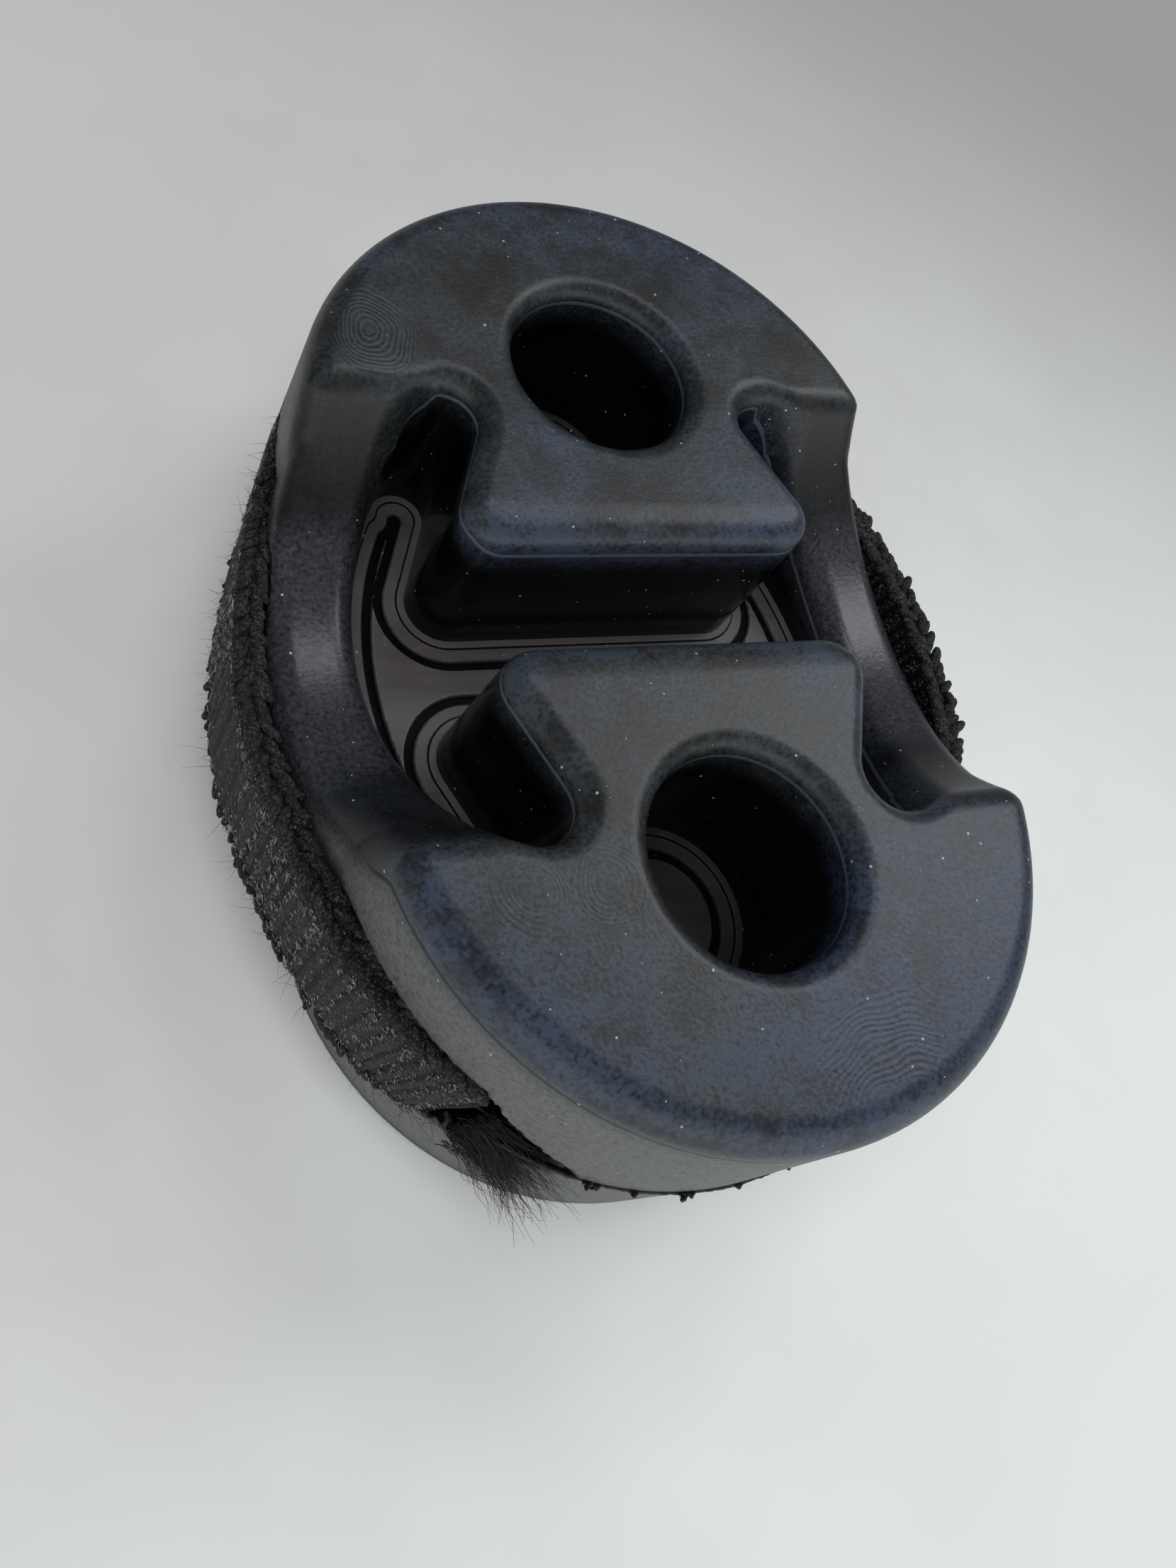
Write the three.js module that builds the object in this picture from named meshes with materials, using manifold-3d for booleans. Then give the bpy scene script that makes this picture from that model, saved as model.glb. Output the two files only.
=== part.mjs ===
// Exhaust hanger rubber: a moulded block with two hanger bores, two bump stops that face each
// other across a gap, and two thin outer arms that stretch under load. A woven webbing band is
// moulded in round it. Millimetres. It lies on its far face: X is across the arms, Y runs from
// bore to bore, Z is the depth of the block, and the origin is the centre of its underside.
import * as THREE from 'three';
import { mergeVertices } from 'three/addons/utils/BufferGeometryUtils.js';
import Module from 'manifold-3d';

// Block
const blockDepth = 41.4; // Z, face to face
const landRadius = 33.3; // round outer wall of each end, at its edge
const landCentreY = 17.95; // centre of that round wall
const chordY = 23.4; // where each flat face ends towards the middle
const landCorner = 3; // plan radius of the corner between round wall and chord
const edgeRadius = 2.4; // rounding of all edges of the end blocks
const draftTan = 0.031; // taper of all moulded walls, per millimetre of depth

// Hanger bores
const boreRadius = 10; // at the foot of the mouth's rounding
const boreCentreY = 26.8;
const mouthRadius = 2; // rounding of the bore's mouth

// Bump stops and the slot round them, measured at the edges of the faces
const gapHalf = 5.2; // half the gap between the two stops
const stopHalfWidth = 19.4; // half width of a stop at its corners
const stopCorner = 3.9; // plan radius of those corners
const neckHalfWidth = 15.2; // half width where stop joins end block
const slotEndRadius = 3.7; // round end of the slot beside the neck
const slotEndY = 23.5; // furthest reach of the slot
const armInnerX = 27.7; // inner wall of an arm at the middle
const armInnerRadius = 41.9; // plan radius of that wall

// Arms
const armOuterX = 37.4; // outer wall of an arm at the middle
const armOuterRadius = 57; // plan radius of that wall
const armSag = 13.4; // how far the arm's top lies below the faces at its middle
const armChord = 23.3; // half length of the hollow over an arm
const armEdgeRadius = 2.1; // rounding of the arm's four long edges
const armEndY = 29; // where the arm's ends are buried in the end blocks

// Membrane that closes slot and bores at mid-depth
const webHalf = 1; // half thickness
const ledgeWidth = 0.67; // raised ledge along the wall
const ledgeRise = 0.2;
const shelfWidth = 1.3; // plain shelf beside the ledge
const grooveWidth = 0.95; // tear groove beside the shelf
const grooveDepth = 0.5;
const boreShelfWidth = 1.6; // the bore's own shelf is wider

// Webbing band
const bandThickness = 2.8;
const bandWidth = 14.5; // Z
const bandFit = 0.3; // clearance between band and rubber
const bandSlack = 0.4; // further air between band and arm at the middle
const bandCover = 1.4; // rubber over the band where it runs inside an end block
const bandProud = 1.4; // how far it stands out of the end block beside its cut end
const bandTailAngle = 250; // hidden end, degrees about the end block's round wall
const bandCutAngle = 225; // cut end, measured the same way

const halfDepth = blockDepth / 2;
const rubberColour = 0x23262b;
const webbingColour = 0x17181b;

const wasm = await Module();
wasm.setup();

/** Turns a closed three.js geometry into a solid that can be joined and cut. */
function solid(geometry) {
  const bare = geometry.clone();
  bare.deleteAttribute('normal');
  bare.deleteAttribute('uv');
  const merged = mergeVertices(bare, 1e-5);
  return new wasm.Manifold(new wasm.Mesh({
    numProp: 3,
    vertProperties: new Float32Array(merged.attributes.position.array),
    triVerts: new Uint32Array(merged.index.array),
  }));
}

/** Turns a solid back into a geometry. */
function geometryOf(body) {
  const mesh = body.getMesh();
  const geometry = new THREE.BufferGeometry();
  geometry.setAttribute('position', new THREE.BufferAttribute(mesh.vertProperties, 3));
  geometry.setIndex(new THREE.BufferAttribute(mesh.triVerts, 1));
  geometry.computeVertexNormals();
  return geometry;
}

/** Skins a closed body over rings of equal length; each runs counter-clockwise as flattened. */
function loft(rings, flatten) {
  const count = rings[0].length;
  const positions = rings.flat().flatMap((point) => point.toArray());
  const index = [];
  for (let r = 0; r + 1 < rings.length; r += 1) {
    for (let i = 0; i < count; i += 1) {
      const a = r * count + i;
      const b = r * count + ((i + 1) % count);
      index.push(a, b, b + count, a, b + count, a + count);
    }
  }
  const last = (rings.length - 1) * count;
  const firstCap = THREE.ShapeUtils.triangulateShape(rings[0].map(flatten), []);
  firstCap.forEach(([a, b, c]) => index.push(a, c, b));
  const lastCap = THREE.ShapeUtils.triangulateShape(rings.at(-1).map(flatten), []);
  lastCap.forEach(([a, b, c]) => index.push(last + a, last + b, last + c));
  const geometry = new THREE.BufferGeometry();
  geometry.setAttribute('position', new THREE.Float32BufferAttribute(positions, 3));
  geometry.setIndex(index);
  return geometry;
}

/** Moves each point of a closed outline (counter-clockwise) into it by a distance. */
function inset(outline, distance) {
  const count = outline.length;
  return outline.map((point, i) => {
    const before = outline[(i + count - 1) % count];
    const after = outline[(i + 1) % count];
    const inward = new THREE.Vector2(-(point.y - before.y), point.x - before.x).normalize();
    const next = new THREE.Vector2(-(after.y - point.y), after.x - point.x).normalize();
    const middle = inward.add(next).normalize();
    const stretch = 1 / Math.max(0.5, middle.dot(next));
    return point.clone().addScaledVector(middle, distance * stretch);
  });
}

/** Drops the doubled points of an outline and makes it counter-clockwise. */
function tidyOutline(points) {
  const kept = points.filter((p, i) => p.distanceTo(points[(i + 1) % points.length]) > 0.02);
  return THREE.ShapeUtils.isClockWise(kept) ? kept.reverse() : kept;
}

/** Points along an arc in plan, from one angle to another, end points included. */
function arcPoints(x, y, radius, from, to, steps) {
  return Array.from({ length: steps + 1 }, (_, i) => {
    const turn = from + ((to - from) * i) / steps;
    return new THREE.Vector2(x + radius * Math.cos(turn), y + radius * Math.sin(turn));
  });
}

/** Plan outline of the end block at +Y: round end, chord, slot ends, neck and bump stop. */
function endBlockOutline() {
  const slotX = neckHalfWidth + slotEndRadius;
  const slotY = slotEndY - slotEndRadius;
  const cornerRise = chordY + landCorner - landCentreY;
  const cornerX = Math.sqrt((landRadius - landCorner) ** 2 - cornerRise ** 2);
  const cornerY = chordY + landCorner;
  const landStart = Math.atan2(cornerRise, cornerX);
  const sideAngle = Math.atan2(stopHalfWidth - neckHalfWidth, slotY - gapHalf - stopCorner);
  const stopX = stopHalfWidth - stopCorner;
  const stopY = gapHalf + stopCorner;
  const quarter = Math.PI / 2;
  const rightHalf = [
    ...arcPoints(stopX, stopY, stopCorner, -quarter, sideAngle, 6),
    ...arcPoints(slotX, slotY, slotEndRadius, Math.PI + sideAngle, quarter * 0.72, 8),
    ...arcPoints(cornerX, cornerY, landCorner, -quarter, landStart, 4),
    ...arcPoints(0, landCentreY, landRadius, landStart, quarter, 20),
  ];
  const leftHalf = rightHalf.slice(0, -1).reverse().map((p) => new THREE.Vector2(-p.x, p.y));
  return tidyOutline([...rightHalf, ...leftHalf]);
}

/** Inset of a block's wall at each height: rounded at both faces, tapered in between. */
function wallProfile() {
  const steps = 3;
  const quarter = Array.from({ length: steps + 1 }, (_, i) => {
    const turn = (i / steps) * (Math.PI / 2);
    return [halfDepth - edgeRadius * (1 - Math.cos(turn)), edgeRadius * (1 - Math.sin(turn))];
  });
  const middle = [0, -draftTan * (halfDepth - edgeRadius)];
  const lower = quarter.map(([z, depth]) => [-z, depth]);
  return [...lower, middle, ...quarter.reverse()];
}

/** One end block, from the rounded outline carried up the wall profile. */
function endBlock() {
  const outline = endBlockOutline();
  const rings = wallProfile().map(([z, depth]) => inset(outline, depth)
    .map((p) => new THREE.Vector3(p.x, p.y, z)));
  return solid(loft(rings, (p) => new THREE.Vector2(p.x, p.y)));
}

/** Depth of the hollow over an arm at a distance along it, on an arc of given sag and chord. */
function hollowDepth(y, sag, chord) {
  const radius = (chord ** 2 + sag ** 2) / (2 * sag);
  const reach = Math.min(Math.abs(y), radius * 0.999);
  return sag - (radius - Math.sqrt(radius ** 2 - reach ** 2));
}

/** Outer wall of an arm at a distance along it. */
function armOuter(y) {
  return armOuterX - armOuterRadius + Math.sqrt(armOuterRadius ** 2 - y ** 2);
}

/** Inner wall of an arm at a distance along it: a long arc, then the round end of the slot. */
function armInner(y) {
  const slotX = neckHalfWidth + slotEndRadius;
  const slotY = slotEndY - slotEndRadius;
  const along = Math.abs(y);
  const arc = armInnerX - armInnerRadius + Math.sqrt(armInnerRadius ** 2 - along ** 2);
  if (along <= slotY) return Math.min(arc, armInnerX);
  const climb = Math.min(along - slotY, slotEndRadius * 0.8);
  return Math.min(arc, slotX + Math.sqrt(slotEndRadius ** 2 - climb ** 2));
}

/** One arm: rounded four-sided sections carried along Y, higher at their inner edge. */
function arm() {
  const steps = 26;
  const rings = Array.from({ length: steps + 1 }, (_, i) => {
    const y = armEndY * (1 - (2 * i) / steps);
    const drop = edgeRadius * 1.05;
    const along = Math.abs(y);
    const buried = along > chordY + edgeRadius ? drop : 0;
    const top = halfDepth - Math.max(hollowDepth(y, armSag, armChord), buried, 0.05);
    const taper = draftTan * top;
    const outerX = armOuter(y);
    const innerX = armInner(y);
    const corners = [
      [innerX + taper, top],
      [innerX, 0],
      [innerX + taper, -top],
      [outerX - taper, -top],
      [outerX, 0],
      [outerX - taper, top],
    ].map(([x, z]) => new THREE.Vector2(x, z));
    const radii = [armEdgeRadius, 0, armEdgeRadius, armEdgeRadius, 0, armEdgeRadius];
    const section = [];
    corners.forEach((corner, c) => {
      const radius = radii[c];
      if (radius === 0) {
        section.push(corner);
        return;
      }
      const before = corners[(c + 5) % 6].clone().sub(corner).normalize();
      const after = corners[(c + 1) % 6].clone().sub(corner).normalize();
      const curve = new THREE.QuadraticBezierCurve(
        corner.clone().addScaledVector(before, radius),
        corner,
        corner.clone().addScaledVector(after, radius),
      );
      section.push(...curve.getPoints(3));
    });
    return section.map((p) => new THREE.Vector3(p.x, y, p.y));
  });
  return solid(loft(rings, (p) => new THREE.Vector2(p.x, p.z)));
}

/** Opening between stops and arms at mid-depth, as a closed outline. */
function slotOutline() {
  const shift = draftTan * (halfDepth - edgeRadius);
  const slotX = neckHalfWidth + slotEndRadius;
  const slotY = slotEndY - slotEndRadius;
  const endRadius = slotEndRadius - shift;
  const sideAngle = Math.atan2(stopHalfWidth - neckHalfWidth, slotY - gapHalf - stopCorner);
  const stopX = stopHalfWidth - stopCorner;
  const stopY = gapHalf + stopCorner;
  const cornerRadius = stopCorner + shift;
  const arcX = armInnerX - armInnerRadius;
  const arcTop = Math.asin((slotY + 0.2) / armInnerRadius);
  const quarterOutline = [];
  const add = (x, y) => quarterOutline.push(new THREE.Vector2(x, y));
  const arcSteps = 9;
  for (let i = 0; i <= arcSteps; i += 1) {
    const turn = (arcTop * i) / arcSteps;
    add(arcX + armInnerRadius * Math.cos(turn), armInnerRadius * Math.sin(turn));
  }
  const endSteps = 8;
  for (let i = 1; i <= endSteps; i += 1) {
    const turn = 0.15 + ((Math.PI + sideAngle - 0.15) * i) / endSteps;
    add(slotX + endRadius * Math.cos(turn), slotY + endRadius * Math.sin(turn));
  }
  const cornerSteps = 5;
  for (let i = 0; i <= cornerSteps; i += 1) {
    const turn = sideAngle - ((sideAngle + Math.PI / 2) * i) / cornerSteps;
    add(stopX + cornerRadius * Math.cos(turn), stopY + cornerRadius * Math.sin(turn));
  }
  const upperLeft = quarterOutline.slice().reverse().map((p) => new THREE.Vector2(-p.x, p.y));
  const upper = [...quarterOutline, ...upperLeft];
  const lower = upper.map((p) => new THREE.Vector2(-p.x, -p.y));
  return tidyOutline([...upper, ...lower.slice(0)]);
}

/** A straight slab between two heights over an outline, with an optional hole. */
function slab(outline, bottom, top, hole) {
  const shape = new THREE.Shape(outline);
  if (hole) shape.holes.push(new THREE.Path(hole));
  const geometry = new THREE.ExtrudeGeometry(shape, { depth: top - bottom, bevelEnabled: false });
  geometry.translate(0, 0, bottom);
  return solid(geometry);
}

/** A body turned about Z from a closed profile of radius and height, set over a bore. */
function turned(profile, y) {
  const points = profile.map(([radius, z]) => new THREE.Vector2(radius, z));
  points.push(points[0].clone());
  const geometry = new THREE.LatheGeometry(points, 40);
  geometry.rotateX(Math.PI / 2);
  geometry.translate(0, y, 0);
  return solid(geometry);
}

/** Cutter for one side of a bore: tapered wall and rounded mouth above the membrane. */
function borePocket(y, side) {
  const lipZ = halfDepth - mouthRadius;
  const footRadius = boreRadius - draftTan * (lipZ - webHalf);
  const profile = [[0, webHalf], [footRadius, webHalf], [boreRadius, lipZ]];
  const steps = 3;
  for (let i = 1; i <= steps; i += 1) {
    const turn = (i / steps) * (Math.PI / 2);
    const out = mouthRadius * (1 - Math.cos(turn));
    profile.push([boreRadius + out, lipZ + mouthRadius * Math.sin(turn)]);
  }
  profile.push([boreRadius + mouthRadius, halfDepth + 1], [0, halfDepth + 1]);
  return turned(mirrored(profile, side), y);
}

/** The same profile on the side of the membrane that is asked for. */
function mirrored(profile, side) {
  return side > 0 ? profile : profile.map(([radius, z]) => [radius, -z]).reverse();
}

/** Ledge round the foot of a bore's wall, and the tear groove in its floor. */
function boreRings(y, side) {
  const footRadius = boreRadius - draftTan * (halfDepth - mouthRadius - webHalf);
  const ledge = footRadius - ledgeWidth;
  const grooveOuter = ledge - boreShelfWidth;
  const grooveInner = grooveOuter - grooveWidth;
  const ring = (inner, outer, low, high) => turned(
    mirrored([[inner, low], [outer, low], [outer, high], [inner, high]], side),
    y,
  );
  return {
    ledge: ring(ledge, footRadius + 0.5, webHalf - 0.4, webHalf + ledgeRise),
    groove: ring(grooveInner, grooveOuter, webHalf - grooveDepth, webHalf + 0.5),
  };
}

/** Route of the band's outer face in plan, from its hidden end round to its cut end. */
function bandRoute() {
  const degrees = THREE.MathUtils.degToRad;
  const hidden = landRadius - bandCover;
  const proud = landRadius + bandProud;
  const armFace = armOuterX + bandSlack + bandFit + bandThickness;
  const onArm = (x, y) => new THREE.Vector2(x * armFace, y * landCentreY);
  return [
    ...arcPoints(0, -landCentreY, hidden, degrees(bandTailAngle - 360), degrees(-32), 6),
    onArm(0.935, -0.98),
    onArm(0.99, -0.5),
    onArm(1, 0),
    onArm(0.99, 0.5),
    onArm(0.935, 0.98),
    ...arcPoints(0, landCentreY, hidden, degrees(32), degrees(148), 9),
    onArm(-0.885, 0.98),
    onArm(-0.955, 0.47),
    onArm(-0.99, 0),
    onArm(-0.985, -0.5),
    onArm(-0.94, -0.98),
    ...arcPoints(0, -landCentreY, proud, degrees(200), degrees(bandCutAngle), 3),
  ];
}

/** A strip along the band's route, grown all round by a clearance and past its two ends. */
function bandStrip(grow) {
  const route = bandRoute().map((p) => new THREE.Vector3(p.x, p.y, 0));
  const curve = new THREE.CatmullRomCurve3(route, false, 'centripetal');
  const steps = 90;
  const outer = [];
  const inner = [];
  for (let i = 0; i <= steps; i += 1) {
    const point = curve.getPointAt(i / steps);
    const ahead = curve.getTangentAt(i / steps);
    const past = i === 0 ? -grow * 1.1 : 0;
    const shift = i === steps ? grow * 3 : past;
    const outward = new THREE.Vector2(ahead.y, -ahead.x);
    const centre = new THREE.Vector2(point.x + ahead.x * shift, point.y + ahead.y * shift);
    outer.push(centre.clone().addScaledVector(outward, grow));
    inner.push(centre.clone().addScaledVector(outward, -bandThickness - grow));
  }
  const outline = tidyOutline([...outer, ...inner.reverse()]);
  return slab(outline, -bandWidth / 2 - grow, bandWidth / 2 + grow);
}

/** The rubber moulding: end blocks, arms and membrane joined, then bores, grooves and band seat cut. */
function rubberBody() {
  const block = endBlock();
  const slot = slotOutline();
  const armBody = arm();
  let body = block
    .add(block.rotate([0, 0, 180]))
    .add(armBody)
    .add(armBody.rotate([0, 0, 180]))
    .add(slab(inset(slot, -1.2), -webHalf, webHalf));
  for (const side of [-1, 1]) {
    const low = side * webHalf;
    const high = side * (webHalf + ledgeRise);
    const ledge = slab(
      inset(slot, -0.8),
      Math.min(low, high),
      Math.max(low, high),
      inset(slot, ledgeWidth),
    );
    const grooveFloor = side * (webHalf - grooveDepth);
    const grooveTop = side * (webHalf + 0.5);
    const shelfEdge = ledgeWidth + shelfWidth;
    const groove = slab(
      inset(slot, shelfEdge),
      Math.min(grooveFloor, grooveTop),
      Math.max(grooveFloor, grooveTop),
      inset(slot, shelfEdge + grooveWidth),
    );
    body = body.add(ledge).subtract(groove);
    for (const y of [-boreCentreY, boreCentreY]) {
      const rings = boreRings(y, side);
      body = body.subtract(borePocket(y, side)).add(rings.ledge).subtract(rings.groove);
    }
  }
  return body.subtract(bandStrip(bandFit));
}

/** A named mesh of a solid, stood on its far face. */
function piece(name, body, colour, roughness) {
  const material = new THREE.MeshStandardMaterial({ color: colour, roughness, metalness: 0 });
  const mesh = new THREE.Mesh(geometryOf(body), material);
  mesh.name = name;
  mesh.position.z = halfDepth;
  return mesh;
}

const hanger = new THREE.Group();
hanger.add(piece('rubber_body', rubberBody(), rubberColour, 0.55));
hanger.add(piece('webbing_band', bandStrip(0), webbingColour, 0.9));

export default hanger;
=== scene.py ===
import bpy
import numpy as np
from mathutils import Matrix, Vector


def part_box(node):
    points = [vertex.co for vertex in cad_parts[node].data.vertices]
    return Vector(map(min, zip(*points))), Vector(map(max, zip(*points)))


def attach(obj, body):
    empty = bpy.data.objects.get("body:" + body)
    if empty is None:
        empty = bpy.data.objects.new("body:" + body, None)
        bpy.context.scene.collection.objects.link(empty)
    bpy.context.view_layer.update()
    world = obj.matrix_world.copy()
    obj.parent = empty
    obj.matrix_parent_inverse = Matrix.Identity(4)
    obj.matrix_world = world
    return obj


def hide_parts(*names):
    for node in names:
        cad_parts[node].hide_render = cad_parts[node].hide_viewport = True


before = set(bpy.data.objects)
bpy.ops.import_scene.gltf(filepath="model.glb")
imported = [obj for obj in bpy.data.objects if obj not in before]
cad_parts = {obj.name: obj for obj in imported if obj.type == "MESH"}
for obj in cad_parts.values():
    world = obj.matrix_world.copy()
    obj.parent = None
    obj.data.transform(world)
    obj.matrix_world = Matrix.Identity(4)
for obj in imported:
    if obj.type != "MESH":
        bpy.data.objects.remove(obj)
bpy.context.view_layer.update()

# Camera. A hand-held close-up from the lower left, cropped off centre, so the lens axis is shifted.
# The block lies on its far face, and the camera's place is measured from the near face.

mm = 0.001
body_low, body_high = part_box("rubber_body")
block_depth = (body_high[2] - body_low[2]) / mm
half_depth = block_depth / 2

picture_width = 1659
picture_height = 2212
focal_pixels = 1775.7
axis_pixel = (611, 917)
camera_place = (-64.8, -51.5, 90.6)
camera_right = Vector((0.93348, -0.19127, 0.30335))
camera_down = Vector((-0.03248, -0.88751, -0.45964))
camera_ahead = Vector((0.35715, 0.41921, -0.83469))
sensor = 36

scene = bpy.context.scene
scene.view_settings.view_transform = "Standard"
lens = bpy.data.cameras.new("camera")
lens.sensor_width = sensor
lens.lens = focal_pixels * sensor / picture_height
lens.shift_x = (picture_width / 2 - axis_pixel[0]) / picture_height
lens.shift_y = (axis_pixel[1] - picture_height / 2) / picture_height
lens.clip_start = 0.005
camera = bpy.data.objects.new("camera", lens)
turn = Matrix((camera_right, -camera_down, -camera_ahead)).transposed().to_4x4()
place = Vector(camera_place) + Vector((0, 0, block_depth))
camera.matrix_world = Matrix.Translation(place * mm) @ turn
scene.collection.objects.link(camera)
scene.camera = camera


# Rubber moulding. One piece of dark rubber, pressed in a two-part mould: two end blocks with a
# bore each, bump stops that face each other, thin arms, and walls that taper away from the
# mid-plane. All its edges are rounded, and a fine line shows where each rounding starts.

draft = 0.031
outer_edge_radius = 3.0
slot_edge_radius = 2.4
step_radius = 1.6
land_radius = 33.9
land_centre_y = 17.95
arm_outer_x = 37.4
arm_outer_radius = 57
arm_inner_x = 27.7
arm_inner_radius = 41.9
arm_sag = 13.4
arm_chord = 23.3
gap_half = 4.65
hollow_stop_y = (0, gap_half, 20, 30)
hollow_stop_x = (23.5, 23.5, 18.4, 17)
hollow_fade = 3
hollow_lift = 12
stop_half_width = 19.95
stop_corner = 4.4
neck_half_width = 15.8
slot_end_radius = 3.0
slot_end_y = 23.1
land_join_y = 20.0
land_join_gap = 0.8
bore_radius = 10
bore_mouth = 2
bore_centre_y = 26.8
skin_step = 0.7

# The webbing band lies in a groove in each end block and over both arms. Its course is given from
# above as stops on its outer face. Beyond its cut end the groove runs out as an open pocket.

band_thickness = 2.7
band_half_width = 7.4
path_step = 0.18
groove_gap = 0.25
groove_corner = 0.5
groove_lip = 0.35
groove_grid = 0.2
groove_area_width = 34
groove_area_top = 36
pocket_start = 225.6
pocket_turn = 18
pocket_reach = 32.5
pocket_drift = 3.4
pocket_length = 10.5
pocket_end_height = 0.4
pocket_half_widths = (2.3, 1.9)


def smooth_path(stops, step):
    """Points every step along a smooth curve through given stops: each stretch is a cubic
    whose slopes are half the way from the stop before to the stop after, then evenly respaced."""
    stops = np.array(stops, dtype=float)
    padded = np.concatenate([[2 * stops[0] - stops[1]], stops, [2 * stops[-1] - stops[-2]]])
    before, start, end, after = padded[:-3], padded[1:-2], padded[2:-1], padded[3:]
    t = np.linspace(0, 1, 24, endpoint=False)[:, None, None]
    cubic = 2 * start + (end - before) * t + (2 * before - 5 * start + 4 * end - after) * t ** 2
    cubic = cubic + (3 * start - before - 3 * end + after) * t ** 3
    fine = np.concatenate([(cubic / 2).transpose(1, 0, 2).reshape(-1, stops.shape[1]), stops[-1:]])
    length = np.concatenate([[0], np.cumsum(np.linalg.norm(np.diff(fine, axis=0), axis=1))])
    even = np.linspace(0, length[-1], int(length[-1] / step) + 1)
    return np.stack([np.interp(even, length, column) for column in fine.T], axis=1), even


def left_and_right(path):
    """Unit steps along a plan path, and the directions at its right hand, away from the rubber."""
    along = np.gradient(path, axis=0)
    along = along / np.linalg.norm(along, axis=1)[:, None]
    return along, np.stack([along[:, 1], -along[:, 0]], axis=1)


cut_side_stops = [(-31.4, 29.6), (-33.9, 23.6), (-36.3, 17.0), (-38.5, 10.0), (-39.9, 3.0),
                  (-40.4, -4.0), (-39.7, -11.0), (-38.1, -18.0), (-36.0, -24.6),
                  (-33.0, -31.2), (-29.2, -37.0), (-24.0, -42.3)]
far_side_stops = [(31.5, -29.5), (35.2, -22.5), (38.6, -15.5), (40.7, -8.0), (41.3, 0.0),
                  (40.8, 8.0), (38.9, 15.5), (35.6, 22.5), (31.6, 29.5)]


def pocket_run_out():
    """Centre line of the pocket: round the lower land from the cut end, drifting outward."""
    t = np.linspace(0, 1, 60)
    reach = pocket_reach + pocket_drift * t ** 1.6
    angle = np.radians(pocket_start + pocket_turn * t)
    return np.column_stack([reach * np.cos(angle), reach * np.sin(angle) - land_centre_y])


def groove_tables():
    """For each side: the distance to the groove's centre line and the place along it, from above
    on a square grid, and where the band ends along it."""
    tables = []
    for stops, low in ((cut_side_stops, (-44.0, -53.0)), (far_side_stops, (24.0, -34.0))):
        path, length = smooth_path(stops, path_step)
        along, out = left_and_right(path)
        line = path - out * band_thickness / 2
        if stops is cut_side_stops:
            line = np.concatenate([line, pocket_run_out()])
        place = np.concatenate([[0], np.cumsum(np.linalg.norm(np.diff(line, axis=0), axis=1))])
        high = (low[0] + groove_area_width, groove_area_top)
        x = np.arange(low[0], high[0], groove_grid)
        y = np.arange(low[1], high[1], groove_grid)
        spots = np.stack(np.meshgrid(x, y, indexing="ij"), axis=-1).reshape(-1, 2)
        away = np.empty(len(spots))
        near = np.empty(len(spots))
        for part in np.array_split(np.arange(len(spots)), 40):
            gap = np.hypot(*(spots[part, None, :] - line[None]).transpose(2, 0, 1))
            nearest = gap.argmin(axis=1)
            away[part] = gap[np.arange(part.size), nearest]
            near[part] = place[nearest]
        tables.append((low, away.reshape(x.size, y.size), near.reshape(x.size, y.size), length[-1]))
    return tables


def arc(x, y, radius, start, stop, steps):
    """Points of a circle about (x, y) from angle start to angle stop, in radians, both included."""
    angle = np.linspace(start, stop, steps + 1)
    return np.stack([x + radius * np.cos(angle), y + radius * np.sin(angle)], axis=1)


def mirrored(quarter):
    """A closed outline from its part at +X, +Y, mirrored over both axes, counter-clockwise."""
    upper = np.concatenate([quarter, quarter[::-1] * (-1, 1)])
    whole = np.concatenate([upper, -upper])
    gap = np.linalg.norm(whole - np.roll(whole, 1, axis=0), axis=1)
    return whole[gap > 1e-4]


def outer_outline():
    """Outer wall at the mid-plane: a long arc over each arm, then the round end of the block."""
    arm_centre_x = arm_outer_x - arm_outer_radius
    stop = np.arcsin(land_join_y / arm_outer_radius)
    arm = arc(arm_centre_x, 0, arm_outer_radius, 0, stop, steps=20)
    start = np.arcsin((land_join_y + land_join_gap - land_centre_y) / land_radius)
    land = arc(0, land_centre_y, land_radius, start, np.pi / 2, steps=44)
    return mirrored(np.concatenate([arm, land]))


def slot_outline():
    """Slot wall at the mid-plane: arm, round slot end, then a stop's slanted side, corner and
    face."""
    slot_x = neck_half_width + slot_end_radius
    slot_y = slot_end_y - slot_end_radius
    stop_x = stop_half_width - stop_corner
    stop_y = gap_half + stop_corner
    slant = np.arctan2(stop_half_width - neck_half_width, slot_y - stop_y)
    arm_centre_x = arm_inner_x - arm_inner_radius
    arm = arc(arm_centre_x, 0, arm_inner_radius, 0, np.arcsin(slot_y / arm_inner_radius), steps=22)
    end = arc(slot_x, slot_y, slot_end_radius, 0.2, np.pi + slant, steps=16)
    corner = arc(stop_x, stop_y, stop_corner, slant, -np.pi / 2, steps=12)
    return mirrored(np.concatenate([arm, end, corner]))


def outline_distance(x, y, outline):
    """Distance from points to a closed outline, negative inside: the least distance to any of its
    sides, signed by how often a ray from the point crosses it."""
    start = outline
    side = np.roll(outline, -1, axis=0) - start
    length2 = (side ** 2).sum(axis=1)
    result = np.empty(x.size)
    for block in np.array_split(np.arange(x.size), max(1, x.size // 20000)):
        rx = x[block, None] - start[:, 0]
        ry = y[block, None] - start[:, 1]
        along = np.clip((rx * side[:, 0] + ry * side[:, 1]) / length2, 0, 1)
        away2 = (rx - along * side[:, 0]) ** 2 + (ry - along * side[:, 1]) ** 2
        spans = (ry < 0) != (ry < side[:, 1])
        level = np.where(side[:, 1] == 0, 1, side[:, 1])
        crossed = spans & (rx < ry * side[:, 0] / level)
        inside = crossed.sum(axis=1) % 2 == 1
        result[block] = np.sqrt(away2.min(axis=1)) * np.where(inside, -1, 1)
    return result


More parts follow.
